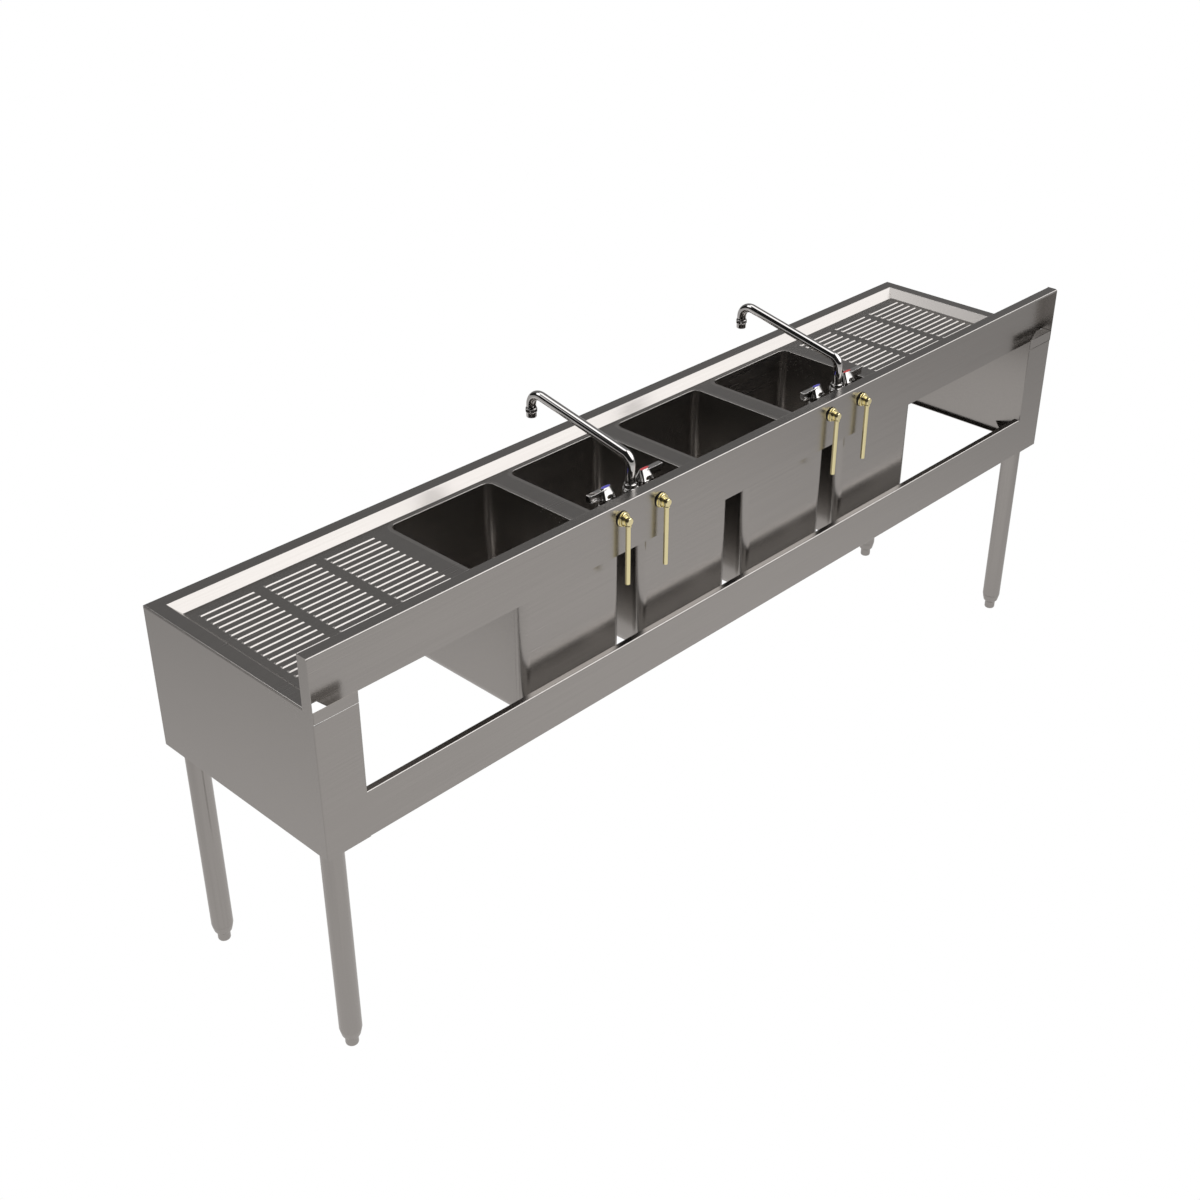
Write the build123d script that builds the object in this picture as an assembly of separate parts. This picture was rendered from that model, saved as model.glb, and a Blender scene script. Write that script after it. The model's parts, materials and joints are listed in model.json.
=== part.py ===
"""Four-compartment underbar sink with two ribbed drainboards, a splash, two faucets and four legs.

Millimetres. The origin is on the floor under the middle of the sink. +X runs along the length to
the right of a person at the front, +Y runs to the splash at the rear, and +Z is up.
"""
import os
from math import radians, tan

from build123d import *

# Overall sizes
LENGTH = 2133.6
DEPTH = 461.0
RIM_TOP = 747.4
SPLASH_TOP = 846.7
SKIRT_BOTTOM = 458.5
SHEET = 1.2
BEND = 2.4

# Rim and deck
RIM_FLAT = 27.7
RIM_DROP = 18.4
RIM_LIP = 3.2
RIM_SEAM = 1.0
RIM_TONGUE = 3.0
RIM_BENDS = [1.8, 1.6, 2.4]

# Splash and rear frame
SPLASH_FRONT = 206.0
SPLASH_HEM = 5.0
EAR_CORNER = 4.5
RETURN_WIDTH = 12.7
APRON_HEM = 6.0
REAR_FLANGE = 88.9
RAIL_TOP = 549.6
FLANGE_TOP = 724.0
STRIP_BOTTOM = 725.5

# Bowls and drains
BOWL_X = (-457.2, -152.4, 152.4, 457.2)
BOWL_LENGTH = 254.0
BOWL_FRONT = -172.5
BOWL_REAR = 183.1
BOWL_BOTTOM = 471.0
BOWL_RADIUS = 19.0
BOWL_EDGE = 0.9
BOWL_LIP = 8.0
DRAIN_HOLE_R = 22.5
DRAIN_BODY_R = 22.0
DRAIN_WALL = 3.0
DRAIN_FLANGE_R = 31.0
DRAIN_FLANGE_RISE = 2.0
DRAIN_BODY_BOTTOM = 440.0
STRAINER_BELOW = 0.9
STRAINER_THICK = 3.0
STRAINER_BAR = 2.4
STRAINER_PITCH = 11.0
GASKET_R = 30.0
GASKET_DEPTH = 3.0
LOCKNUT_R = 29.0
LOCKNUT_LOBE_R = 4.0
LOCKNUT_DEPTH = 8.0
TAIL_R = 19.05
TAIL_WALL = 1.3
TAIL_BOTTOM = 402.0
TAIL_NUT_R = 28.0
TAIL_NUT_BELOW = 6.0
TAIL_NUT_ABOVE = 12.0

# Drainboards
RIB_COLUMNS = (684.2, 817.5, 950.8)
RIB_LENGTH = 111.0
RIB_WIDTH = 7.4
RIB_HEIGHT = 1.9
RIB_FIRST = -157.0
RIB_PITCH = 17.46
RIB_COUNT = 20
DECK_SPLIT = 606.0

# Legs and feet
LEG_X = 1031.1
LEG_REAR = 191.9
LEG_FRONT = -195.2
LEG_R = 20.65
LEG_WALL = 1.6
LEG_BOTTOM = 40.0
GUSSET_TOP = 483.9
GUSSET_LEG = 109.0
GUSSET_SHEET = 3.0
GUSSET_CLIP = 8.0
SPIGOT_BOTTOM = 420.0
PLUG_HEIGHT = 20.0
STEM_R = 8.0
STEM_HEIGHT = 60.0
TIP_R = 12.2
TIP_HEIGHT = 19.0
SCREW_R = 3.0
SCREW_PROUD = 2.5
SCREW_HEIGHTS = (432.0, 450.0)

# Faucets
FAUCET_X = (-304.8, 304.8)
SHANK_OFFSET = 50.8
SHANK_Z = 799.0
SHANK_R = 10.3
SHANK_REAR = 213.0
BAR_R = 12.5
SOCKET_FLOOR = 808.0
ESCUTCHEON_R = 21.0
COLLAR_R = 15.0
COLLAR_DEPTH = 6.0
VALVE_Y = 166.0
VALVE_R = 13.5
VALVE_BOTTOM = 784.0
VALVE_TOP = 823.0
SPOUT_Y = 179.0
SPOUT_R = 9.2
SPOUT_WALL = 1.4
SPOUT_LIFT = 893.0
SPOUT_RISE = radians(11.6)
SPOUT_BENDS = [17, 24]
SPOUT_TIP_Y = -73.5
SPOUT_END = 911.5
NUT_R = 14.5
NUT_BOTTOM = 822.0
NUT_SHOULDER = 831.0
NUT_TOP = 842.0
AERATOR_WALL = 1.8
AERATOR_HEIGHT = 21.0
AERATOR_SCREEN = 13.0

# Handles
SHAFT_R = 6.0
SHAFT_TOP = 838.0
HUB_BASE = 28.0
HUB_CROWN = 17.5
HUB_BOTTOM = 829.0
HUB_TOP = 848.0
HUB_ARCH_R = 8.5
INDEX_R = 6.6
LEVER_REACH = 51.0
LEVER_WIDTH = 11.0
LEVER_HEIGHT = 17.0
LEVER_EDGE = 2.5

# Fittings behind the splash
WASHER_R = 15.0
WASHER_DEPTH = 2.0
HEX_R = 14.2
HEX_DEPTH = 5.5
ELBOW_R = 7.6
ELBOW_REAR = 228.0
TUBE_R = 4.76
TUBE_WALL = 0.9
TUBE_Y = 222.0
TUBE_BOTTOM = 671.0
TUBE_TOP = 791.3
TUBE_SPIGOT_R = 4.2
RUNNING_GAP = 0.05

DECK_TOP = RIM_TOP - RIM_DROP
PANEL_TOP = RIM_TOP - RIM_LIP - RIM_SEAM
BOWL_Y = (BOWL_FRONT + BOWL_REAR) / 2
BOWL_WIDTH = BOWL_REAR - BOWL_FRONT
SPIGOT_R = LEG_R - LEG_WALL - RUNNING_GAP
END_X = LENGTH / 2
REAR_Y = DEPTH / 2
FRONT_Y = -DEPTH / 2
INSIDE_X = END_X - SHEET
RIM_RUN = RIM_FLAT + RIM_DROP + RIM_TONGUE
SIDES = {"right": 1, "left": -1}


def save(name, shape):
    """Write one sub-part."""
    shape.label = name
    export_step(shape, f"parts/{name}.step")


def block(x, y, z):
    """A box between pairs of coordinates."""
    size = (abs(x[1] - x[0]), abs(y[1] - y[0]), abs(z[1] - z[0]))
    return Pos((x[0] + x[1]) / 2, (y[0] + y[1]) / 2, (z[0] + z[1]) / 2) * Box(*size)


def rod(x, y, low, high, radius):
    """A vertical cylinder."""
    return Pos(x, y, (low + high) / 2) * Cylinder(radius, high - low)


def rod_y(x, z, front, rear, radius):
    """A cylinder along Y."""
    return Pos(x, (front + rear) / 2, z) * Rot(90, 0, 0) * Cylinder(radius, rear - front)


def mirror_x(shape):
    """The same shape at the other end of the sink."""
    return mirror(shape, about=Plane.YZ)


def folded(points):
    """The section of a sheet folded along a centre line of corner points."""
    return trace(FilletPolyline(*points, radius=BEND - SHEET / 2), SHEET)


def along_x(section, low, high):
    """Push a (y, z) section along X."""
    return extrude(Plane.YZ.offset(low) * section, high - low, dir=(1, 0, 0))


def along_y(section, low, high):
    """Push an (x, z) section along Y."""
    return extrude(Plane.XZ.offset(-low) * section, high - low, dir=(0, 1, 0))


def along_z(section, low, high):
    """Push an (x, y) section along Z."""
    return extrude(Pos(0, 0, low) * section, high - low, dir=(0, 0, 1))


def grouped(solids):
    """Several separate solids in one sub-part."""
    return Compound(children=list(solids))


# Rim: a flat top with a lip outside and a 45 degree slope down to the deck inside


def rim_section():
    """Rim section as (distance in from the outer face, height)."""
    half = SHEET / 2
    knee = RIM_FLAT - half * tan(radians(22.5))
    points = (
        (half, RIM_TOP - RIM_LIP),
        (half, RIM_TOP - half),
        (knee, RIM_TOP - half),
        (knee + RIM_DROP, DECK_TOP - half),
        (RIM_RUN, DECK_TOP - half),
    )
    return trace(FilletPolyline(*points, radius=RIM_BENDS), SHEET)


def mitre(shape, side, front):
    """Keep the part of a rim that lies on one side of the 45 degree corner joint."""
    reach = 3 * RIM_RUN
    corner = Vector(side * END_X, FRONT_Y)
    inner = corner + Vector(-side * reach, reach)
    outer = corner + (Vector(-side * reach, 0) if front else Vector(0, reach))
    wedge = make_face(Polyline(corner, inner, outer, close=True))
    return shape & along_z(wedge, DECK_TOP - RIM_RUN, RIM_TOP + RIM_RUN)


def rim_front():
    """Front rim, cut at 45 degrees at both ends."""
    section = Pos(FRONT_Y, 0) * rim_section()
    bar = along_x(section, -END_X, END_X)
    corner_run = 3 * RIM_RUN
    middle = block((-END_X + corner_run, END_X - corner_run), (FRONT_Y, 0), (0, SPLASH_TOP))
    ends = [mitre(bar, side, True) for side in SIDES.values()]
    return (bar & middle) + ends


def rim_end():
    """Right-hand end rim, from the front corner to the splash."""
    section = Pos(END_X, 0) * mirror(rim_section(), about=Plane.YZ)
    bar = along_y(section, FRONT_Y, SPLASH_FRONT)
    corner_run = 3 * RIM_RUN
    straight = block((0, END_X), (FRONT_Y + corner_run, SPLASH_FRONT), (0, SPLASH_TOP))
    return (bar & straight) + mitre(bar, 1, False)


# Deck: the flat sheet inside the rim, in three lengths


def rib():
    """One pressed rib with 45 degree sides."""
    return extrude(Rectangle(RIB_LENGTH, RIB_WIDTH), RIB_HEIGHT, taper=45)


def deck_sheet(x_range):
    """Flat sheet from the front rim to the splash."""
    return block(x_range, (FRONT_Y + RIM_RUN, SPLASH_FRONT), (DECK_TOP - SHEET, DECK_TOP))


def drainboard():
    """Right-hand drainboard with three columns of ribs."""
    deck = deck_sheet((DECK_SPLIT, END_X - RIM_RUN))
    one = rib()
    places = [
        Pos(x, RIB_FIRST + row * RIB_PITCH, DECK_TOP) for x in RIB_COLUMNS for row in range(RIB_COUNT)
    ]
    return deck + [place * one for place in places]


def bowl_deck():
    """Deck around the bowls, with one opening for each."""
    deck = deck_sheet((-DECK_SPLIT, DECK_SPLIT))
    opening = along_z(lip_outline(), DECK_TOP - SHEET, DECK_TOP)
    return deck - [Pos(x, BOWL_Y, 0) * opening for x in BOWL_X]


def lip_outline():
    """Outline of the lip at the top of a bowl."""
    length = BOWL_LENGTH + 2 * BOWL_LIP
    width = BOWL_WIDTH + 2 * BOWL_LIP
    return RectangleRounded(length, width, BOWL_RADIUS + BOWL_LIP)


def loop_at(shape, z, half_x, half_y):
    """The edges at one height that lie within a rectangle."""
    chosen = []
    for edge in shape.edges():
        box = edge.bounding_box()
        level = max(abs(box.min.Z - z), abs(box.max.Z - z)) < 0.01
        if level and max(box.max.X, -box.min.X) < half_x and max(box.max.Y, -box.min.Y) < half_y:
            chosen.append(edge)
    return chosen


def bowl(x):
    """A bowl with rounded corners, a lip that joins the deck and a drain hole."""
    floor = BOWL_BOTTOM + SHEET
    outside = (BOWL_LENGTH / 2 + 0.5, BOWL_WIDTH / 2 + 0.5)
    inside = (BOWL_LENGTH / 2 - 0.5, BOWL_WIDTH / 2 - 0.5)
    outer = RectangleRounded(BOWL_LENGTH, BOWL_WIDTH, BOWL_RADIUS)
    inner = RectangleRounded(BOWL_LENGTH - 2 * SHEET, BOWL_WIDTH - 2 * SHEET, BOWL_RADIUS - SHEET)
    shell = along_z(outer, BOWL_BOTTOM, DECK_TOP) + along_z(lip_outline(), DECK_TOP - SHEET, DECK_TOP)
    shell -= along_z(inner, floor, DECK_TOP)
    shell = fillet(loop_at(shell, DECK_TOP, *inside), BOWL_EDGE)
    shell = fillet(loop_at(shell, BOWL_BOTTOM, *outside), BOWL_RADIUS - 0.01)
    shell = fillet(loop_at(shell, floor, *inside), BOWL_RADIUS - SHEET - 0.01)
    shell -= rod(0, 0, BOWL_BOTTOM, floor, DRAIN_HOLE_R)
    return Pos(x, BOWL_Y, 0) * shell


# Splash, skirt and rear frame


def backsplash():
    """Splash sheet with a top return and hem, standing on the deck and over the end rims."""
    half = SHEET / 2
    section = folded(
        (
            (SPLASH_FRONT + half, DECK_TOP - SHEET),
            (SPLASH_FRONT + half, SPLASH_TOP - half),
            (REAR_Y - half, SPLASH_TOP - half),
            (REAR_Y - half, SPLASH_TOP - SPLASH_HEM),
        )
    )
    sheet = along_x(section, -INSIDE_X, INSIDE_X)
    knee = END_X - RIM_FLAT
    outline = Polyline(
        (knee - RIM_DROP, DECK_TOP),
        (knee, RIM_TOP),
        (END_X, RIM_TOP),
        (END_X, DECK_TOP - 2 * SHEET),
        (knee - RIM_DROP, DECK_TOP - 2 * SHEET),
        close=True,
    )
    under_rim = along_y(make_face(outline), FRONT_Y, REAR_Y)
    holes = [rod_y(x + s * SHANK_OFFSET, SHANK_Z, SPLASH_FRONT - 1, REAR_Y - 2, SHANK_R + 0.8)
             for x in FAUCET_X for s in (-1, 1)]
    return sheet - [under_rim, mirror_x(under_rim)] - holes


def end_panel():
    """Right-hand end panel with a rear flange, a rear ear up to the splash and a bottom return."""
    half = SHEET / 2
    corner = folded(
        (
            (END_X - REAR_FLANGE, REAR_Y - half),
            (END_X - half, REAR_Y - half),
            (END_X - half, FRONT_Y + SHEET),
        )
    )
    wrap = along_z(corner, SKIRT_BOTTOM, FLANGE_TOP)
    side = (INSIDE_X, END_X)
    upper = block(side, (FRONT_Y, REAR_Y), (FLANGE_TOP, PANEL_TOP))
    ear = block(side, (SPLASH_FRONT, REAR_Y), (FLANGE_TOP, SPLASH_TOP))
    front_edge = block(side, (FRONT_Y, FRONT_Y + SHEET), (SKIRT_BOTTOM, FLANGE_TOP))
    bottom = block(
        (END_X - RETURN_WIDTH, END_X - half),
        (FRONT_Y + RETURN_WIDTH, REAR_Y - RETURN_WIDTH),
        (SKIRT_BOTTOM, SKIRT_BOTTOM + SHEET),
    )
    panel = wrap + [upper, ear, front_edge, bottom]
    tip = panel.edges().filter_by(Axis.X).filter_by_position(Axis.Z, SPLASH_TOP - 0.1, SPLASH_TOP + 0.1)
    tip = tip.filter_by_position(Axis.Y, REAR_Y - 0.1, REAR_Y + 0.1)
    return fillet(tip, EAR_CORNER)


def corner_strip():
    """Right-hand strip above the rear flange, folded along the end panel."""
    half = SHEET / 2
    section = folded(
        (
            (END_X - REAR_FLANGE, REAR_Y - half),
            (INSIDE_X - half - 0.1, REAR_Y - half),
            (INSIDE_X - half - 0.1, SPLASH_FRONT + 2 * SHEET),
        )
    )
    return along_z(section, STRIP_BOTTOM, RIM_TOP)


def rear_rail():
    """Channel across the rear between the two end flanges."""
    half = SHEET / 2
    section = folded(
        (
            (REAR_Y - RETURN_WIDTH, RAIL_TOP - half),
            (REAR_Y - half, RAIL_TOP - half),
            (REAR_Y - half, SKIRT_BOTTOM + half),
            (REAR_Y - RETURN_WIDTH, SKIRT_BOTTOM + half),
        )
    )
    reach = END_X - REAR_FLANGE
    return along_x(section, -reach, reach)


def front_apron():
    """Full-height front skirt between the end panels, with a narrow hem along the bottom."""
    half = SHEET / 2
    section = folded(
        (
            (FRONT_Y + half, PANEL_TOP),
            (FRONT_Y + half, SKIRT_BOTTOM + half),
            (FRONT_Y + APRON_HEM, SKIRT_BOTTOM + half),
        )
    )
    return along_x(section, -INSIDE_X, INSIDE_X)


# Legs and feet


def leg_corner(side, rear):
    """Centre of one leg."""
    return side * LEG_X, LEG_REAR if rear else LEG_FRONT


def set_screws(side, rear):
    """Two screws through the leg wall into the spigot, on the inner side of the leg."""
    x, y = leg_corner(side, rear)
    turn = 1 if rear else -1
    start = y - turn * (LEG_R + SCREW_PROUD)
    end = y - turn * (LEG_R - 2 * LEG_WALL)
    return [rod_y(x, height, min(start, end), max(start, end), SCREW_R) for height in SCREW_HEIGHTS]


def gusset(side, rear):
    """Corner plate with clipped corners, and the spigot that the leg slides on to."""
    x, y = leg_corner(side, rear)
    wall_x = side * INSIDE_X
    wall_y = (REAR_Y - SHEET) if rear else (FRONT_Y + SHEET)
    turn = -1 if rear else 1
    outline = make_face(
        Polyline(
            (wall_x - side * GUSSET_CLIP, wall_y),
            (wall_x - side * GUSSET_LEG, wall_y),
            (wall_x, wall_y + turn * GUSSET_LEG),
            (wall_x, wall_y + turn * GUSSET_CLIP),
            close=True,
        )
    )
    plate = along_z(outline, GUSSET_TOP - GUSSET_SHEET, GUSSET_TOP)
    spigot = rod(x, y, SPIGOT_BOTTOM, GUSSET_TOP - GUSSET_SHEET, SPIGOT_R)
    bore = rod(x, y, SPIGOT_BOTTOM, GUSSET_TOP - 2 * GUSSET_SHEET, SPIGOT_R - 2 * LEG_WALL)
    return plate + (spigot - bore) - set_screws(side, rear)


def leg(side, rear):
    """Round tube with a threaded plug welded in its foot end."""
    x, y = leg_corner(side, rear)
    top = GUSSET_TOP - GUSSET_SHEET
    tube = rod(x, y, LEG_BOTTOM, top, LEG_R) - rod(x, y, LEG_BOTTOM, top, LEG_R - LEG_WALL)
    plug = rod(x, y, LEG_BOTTOM, LEG_BOTTOM + PLUG_HEIGHT, LEG_R - LEG_WALL / 2)
    hole = rod(x, y, LEG_BOTTOM, LEG_BOTTOM + PLUG_HEIGHT, STEM_R + RUNNING_GAP)
    return tube + plug - hole - set_screws(side, rear)


def foot(side, rear):
    """Bullet foot with a tapered collar, a straight tip and a stem up into the leg."""
    x, y = leg_corner(side, rear)
    collar_r = LEG_R - LEG_WALL / 2
    profile = Polyline(
        (0, 0),
        (TIP_R - BEND, 0),
        (TIP_R, BEND),
        (TIP_R, TIP_HEIGHT),
        (collar_r - 3, TIP_HEIGHT + 4),
        (collar_r, LEG_BOTTOM - SHEET),
        (collar_r, LEG_BOTTOM),
        (STEM_R, LEG_BOTTOM),
        (STEM_R, LEG_BOTTOM + STEM_HEIGHT),
        (0, LEG_BOTTOM + STEM_HEIGHT),
        close=True,
    )
    return Pos(x, y, 0) * revolve(Plane.XZ * make_face(profile), Axis.Z)


# Drains


def ring(x, y, low, high, outer, inner):
    """A plain vertical ring."""
    return rod(x, y, low, high, outer) - rod(x, y, low, high, inner)


def drain_body(x):
    """Flanged drain body with a cross of strainer bars."""
    floor = BOWL_BOTTOM + SHEET
    throat = DRAIN_BODY_R - DRAIN_WALL
    profile = Polyline(
        (throat, DRAIN_BODY_BOTTOM),
        (DRAIN_BODY_R, DRAIN_BODY_BOTTOM),
        (DRAIN_BODY_R, floor),
        (DRAIN_FLANGE_R, floor),
        (DRAIN_FLANGE_R, floor + DRAIN_FLANGE_RISE / 2),
        (DRAIN_BODY_R + 1, floor + DRAIN_FLANGE_RISE),
        (throat, floor - 1.5),
        close=True,
    )
    body = revolve(Plane.XZ * make_face(profile), Axis.Z)
    reach = throat + 1
    height = (floor - STRAINER_BELOW - STRAINER_THICK, floor - STRAINER_BELOW)
    half = STRAINER_BAR / 2
    well = rod(0, 0, *height, reach)
    bars = [
        block((-reach, reach), (y - half, y + half), height) & well
        for y in (-STRAINER_PITCH, 0, STRAINER_PITCH)
    ]
    cross = block((-half, half), (-reach, reach), height)
    return Pos(x, BOWL_Y, 0) * (body + bars + cross)


def drain_gasket(x):
    """Rubber ring under the bowl."""
    return ring(x, BOWL_Y, BOWL_BOTTOM - GASKET_DEPTH, BOWL_BOTTOM, GASKET_R, DRAIN_BODY_R + RUNNING_GAP)


def drain_locknut(x):
    """Lobed locknut under the gasket."""
    high = BOWL_BOTTOM - GASKET_DEPTH
    low = high - LOCKNUT_DEPTH
    nut = rod(0, 0, low, high, LOCKNUT_R)
    nut += [Rot(0, 0, 60 * i) * rod(LOCKNUT_R + 1, 0, low, high, LOCKNUT_LOBE_R) for i in range(6)]
    nut -= rod(0, 0, low, high, DRAIN_BODY_R + RUNNING_GAP)
    return Pos(x, BOWL_Y, 0) * nut


def drain_tailpiece(x):
    """Straight tailpiece with the nut that holds it to the drain body."""
    low = DRAIN_BODY_BOTTOM - TAIL_NUT_BELOW
    high = DRAIN_BODY_BOTTOM + TAIL_NUT_ABOVE
    nut = along_z(RegularPolygon(TAIL_NUT_R, 8), low, high)
    nut -= rod(0, 0, DRAIN_BODY_BOTTOM, high, DRAIN_BODY_R + RUNNING_GAP)
    tube = rod(0, 0, TAIL_BOTTOM, DRAIN_BODY_BOTTOM, TAIL_R)
    bore = rod(0, 0, TAIL_BOTTOM, DRAIN_BODY_BOTTOM, TAIL_R - TAIL_WALL)
    return Pos(x, BOWL_Y, 0) * (nut + tube - bore)


# Faucets


def valve_housing(x):
    """Housing, shank and flange of one valve."""
    housing = rod(x, VALVE_Y, VALVE_BOTTOM, VALVE_TOP, VALVE_R)
    housing += rod_y(x, SHANK_Z, VALVE_Y, SHANK_REAR, SHANK_R)
    collar_rear = SPLASH_FRONT - COLLAR_DEPTH
    housing += rod_y(x, SHANK_Z, collar_rear, SPLASH_FRONT, ESCUTCHEON_R)
    housing += rod_y(x, SHANK_Z, collar_rear - COLLAR_DEPTH, collar_rear, COLLAR_R)
    return housing


def faucet_body(x):
    """Cast body: a cross bar, two valve housings, a spout socket, and shanks with flanges."""
    valves = [x + side * SHANK_OFFSET for side in (-1, 1)]
    bar = Rot(0, 90, 0) * Cylinder(BAR_R, 2 * SHANK_OFFSET)
    body = Pos(x, (VALVE_Y + SPOUT_Y) / 2, SHANK_Z) * bar
    body += rod(x, SPOUT_Y, SHANK_Z - BAR_R, NUT_BOTTOM, BAR_R)
    body += [valve_housing(valve_x) for valve_x in valves]
    body -= [rod(valve_x, VALVE_Y, SHANK_Z, VALVE_TOP, SHAFT_R + RUNNING_GAP) for valve_x in valves]
    body -= rod(x, SPOUT_Y, SOCKET_FLOOR, NUT_BOTTOM, SPOUT_R + RUNNING_GAP)
    return body


def spout_nut(x):
    """Domed nut around the foot of the spout."""
    bore = SPOUT_R + RUNNING_GAP
    profile = Polyline(
        (bore, NUT_BOTTOM),
        (NUT_R, NUT_BOTTOM),
        (NUT_R, NUT_SHOULDER),
        (NUT_R - 1.3, NUT_SHOULDER + 5),
        (NUT_R - 3.7, NUT_TOP),
        (bore, NUT_TOP),
        close=True,
    )
    return Pos(x, SPOUT_Y, 0) * revolve(Plane.XZ * make_face(profile), Axis.Z)


def spout_route(start):
    """Centre line of the spout as (y, z)."""
    peak = SPOUT_LIFT + (SPOUT_Y - SPOUT_TIP_Y) * tan(SPOUT_RISE)
    points = ((SPOUT_Y, start), (SPOUT_Y, SPOUT_LIFT), (SPOUT_TIP_Y, peak), (SPOUT_TIP_Y, SPOUT_END))
    return FilletPolyline(*[Vector(0, y, z) for y, z in points], radius=SPOUT_BENDS)


def spout(x):
    """Swing spout: a bent tube whose foot turns in the body."""
    route = spout_route(SOCKET_FLOOR + 1)
    start = Plane(route @ 0, z_dir=route % 0)
    outside = sweep(start * Circle(SPOUT_R), route)
    inside = sweep(start * Circle(SPOUT_R - SPOUT_WALL), route)
    return Pos(x, 0, 0) * (outside - inside)


def aerator(x):
    """Aerator screwed on the spout's tip, with a screen across it."""
    rim = SPOUT_R + AERATOR_WALL
    skirt = SPOUT_R + AERATOR_WALL / 3
    throat = SPOUT_R - SPOUT_WALL
    top = SPOUT_END - 2
    bottom = SPOUT_END - AERATOR_HEIGHT
    screen = SPOUT_END - AERATOR_SCREEN
    profile = Polyline(
        (SPOUT_R, top),
        (rim, top),
        (rim, top - 8),
        (skirt, top - 10),
        (skirt, bottom + 1),
        (throat, bottom),
        (throat, screen - 2),
        (0, screen - 2),
        (0, screen),
        (throat, screen),
        (throat, SPOUT_END),
        (SPOUT_R, SPOUT_END),
        close=True,
    )
    return Pos(x, SPOUT_TIP_Y, 0) * revolve(Plane.XZ * make_face(profile), Axis.Z)


def valve_stem(x):
    """Stem that turns in the body and carries the handle."""
    return rod(x, VALVE_Y, SHANK_Z + 2, SHAFT_TOP, SHAFT_R)


def lever(side):
    """Flat lever from the middle of the hub outwards."""
    middle = HUB_TOP - LEVER_HEIGHT / 2
    inner = Plane.YZ.offset(2) * Pos(0, middle)
    outer = Plane.YZ.offset(LEVER_REACH) * Pos(0, middle - 0.5)
    root = inner * RectangleRounded(LEVER_WIDTH, LEVER_HEIGHT - 2, LEVER_EDGE)
    tip = outer * RectangleRounded(LEVER_WIDTH, LEVER_HEIGHT, LEVER_EDGE)
    shape = loft([root, tip])
    return shape if side > 0 else mirror_x(shape)


def handle(x, side):
    """Lever handle: a tapered hub with arched sides, and a lever."""
    base = Pos(0, 0, HUB_BOTTOM) * RectangleRounded(HUB_BASE, HUB_BASE, 3)
    crown = Pos(0, 0, HUB_TOP) * RectangleRounded(HUB_CROWN, HUB_CROWN, 2)
    shape = loft([base, crown]) + lever(side)
    shape -= rod_y(0, HUB_BOTTOM - 1, -HUB_BASE, HUB_BASE, HUB_ARCH_R)
    shape -= rod(0, 0, HUB_TOP - 1, HUB_TOP, INDEX_R)
    shape -= rod(0, 0, HUB_BOTTOM, SHAFT_TOP, SHAFT_R)
    return Pos(x, VALVE_Y, 0) * shape


def index_disc(x):
    """Coloured disc in the top of the handle."""
    return rod(x, VALVE_Y, HUB_TOP - 1, HUB_TOP + 0.3, INDEX_R)


# Fittings behind the splash


def shank_places():
    """Positions of the four shanks along X."""
    return [x + side * SHANK_OFFSET for x in FAUCET_X for side in (-1, 1)]


def shank_washer(x):
    """Washer behind the splash."""
    low = SPLASH_FRONT + SHEET
    high = low + WASHER_DEPTH
    return rod_y(x, SHANK_Z, low, high, WASHER_R) - rod_y(x, SHANK_Z, low, high, SHANK_R + RUNNING_GAP)


def shank_locknut(x):
    """Hexagonal brass locknut."""
    low = SPLASH_FRONT + SHEET + WASHER_DEPTH
    high = low + HEX_DEPTH
    nut = along_y(Pos(x, SHANK_Z) * RegularPolygon(HEX_R, 6), low, high)
    return nut - rod_y(x, SHANK_Z, low, high, SHANK_R + RUNNING_GAP)


def supply_elbow(x):
    """Brass end piece on the shank, with a socket for the supply tube."""
    low = SPLASH_FRONT + SHEET + WASHER_DEPTH + HEX_DEPTH
    elbow = rod_y(x, SHANK_Z, low, ELBOW_REAR, ELBOW_R)
    return elbow - rod(x, TUBE_Y, SHANK_Z - ELBOW_R, SHANK_Z, TUBE_SPIGOT_R)


def supply_tube(x):
    """Straight brass tube below the elbow, with a thinner end that fits in it."""
    tube = rod(x, TUBE_Y, TUBE_BOTTOM, TUBE_TOP, TUBE_R)
    tube += rod(x, TUBE_Y, TUBE_TOP, SHANK_Z, TUBE_SPIGOT_R)
    return tube - rod(x, TUBE_Y, TUBE_BOTTOM, SHANK_Z, TUBE_SPIGOT_R - TUBE_WALL)


def save_sheet_metal():
    """Rim, deck, bowls, splash, skirt and rear frame."""
    save("rim_front", rim_front())
    for side, sign in SIDES.items():
        turn = (lambda shape: shape) if sign > 0 else mirror_x
        save(f"rim_{side}", turn(rim_end()))
        save(f"drainboard_{side}", turn(drainboard()))
        save(f"end_panel_{side}", turn(end_panel()))
    save("bowl_deck", bowl_deck())
    for number, x in enumerate(BOWL_X, 1):
        save(f"bowl_{number}", bowl(x))
    save("backsplash", backsplash())
    save("corner_strips", grouped([corner_strip(), mirror_x(corner_strip())]))
    save("rear_rail", rear_rail())
    save("front_apron", front_apron())


def save_legs():
    """Legs, feet, gussets and set screws."""
    corners = [(name, sign, rear) for name, sign in SIDES.items() for rear in (False, True)]
    for name, sign, rear in corners:
        place = f"{'rear' if rear else 'front'}_{name}"
        save(f"leg_{place}", leg(sign, rear))
        save(f"foot_{place}", foot(sign, rear))
    save("leg_gussets", grouped(gusset(sign, rear) for _, sign, rear in corners))
    screws = [screw for _, sign, rear in corners for screw in set_screws(sign, rear)]
    save("leg_set_screws", grouped(screws))


def save_drains():
    """The drain of each bowl."""
    for number, x in enumerate(BOWL_X, 1):
        save(f"drain_body_{number}", drain_body(x))
        save(f"drain_tailpiece_{number}", drain_tailpiece(x))
    save("drain_gaskets", grouped(drain_gasket(x) for x in BOWL_X))
    save("drain_locknuts", grouped(drain_locknut(x) for x in BOWL_X))


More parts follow.
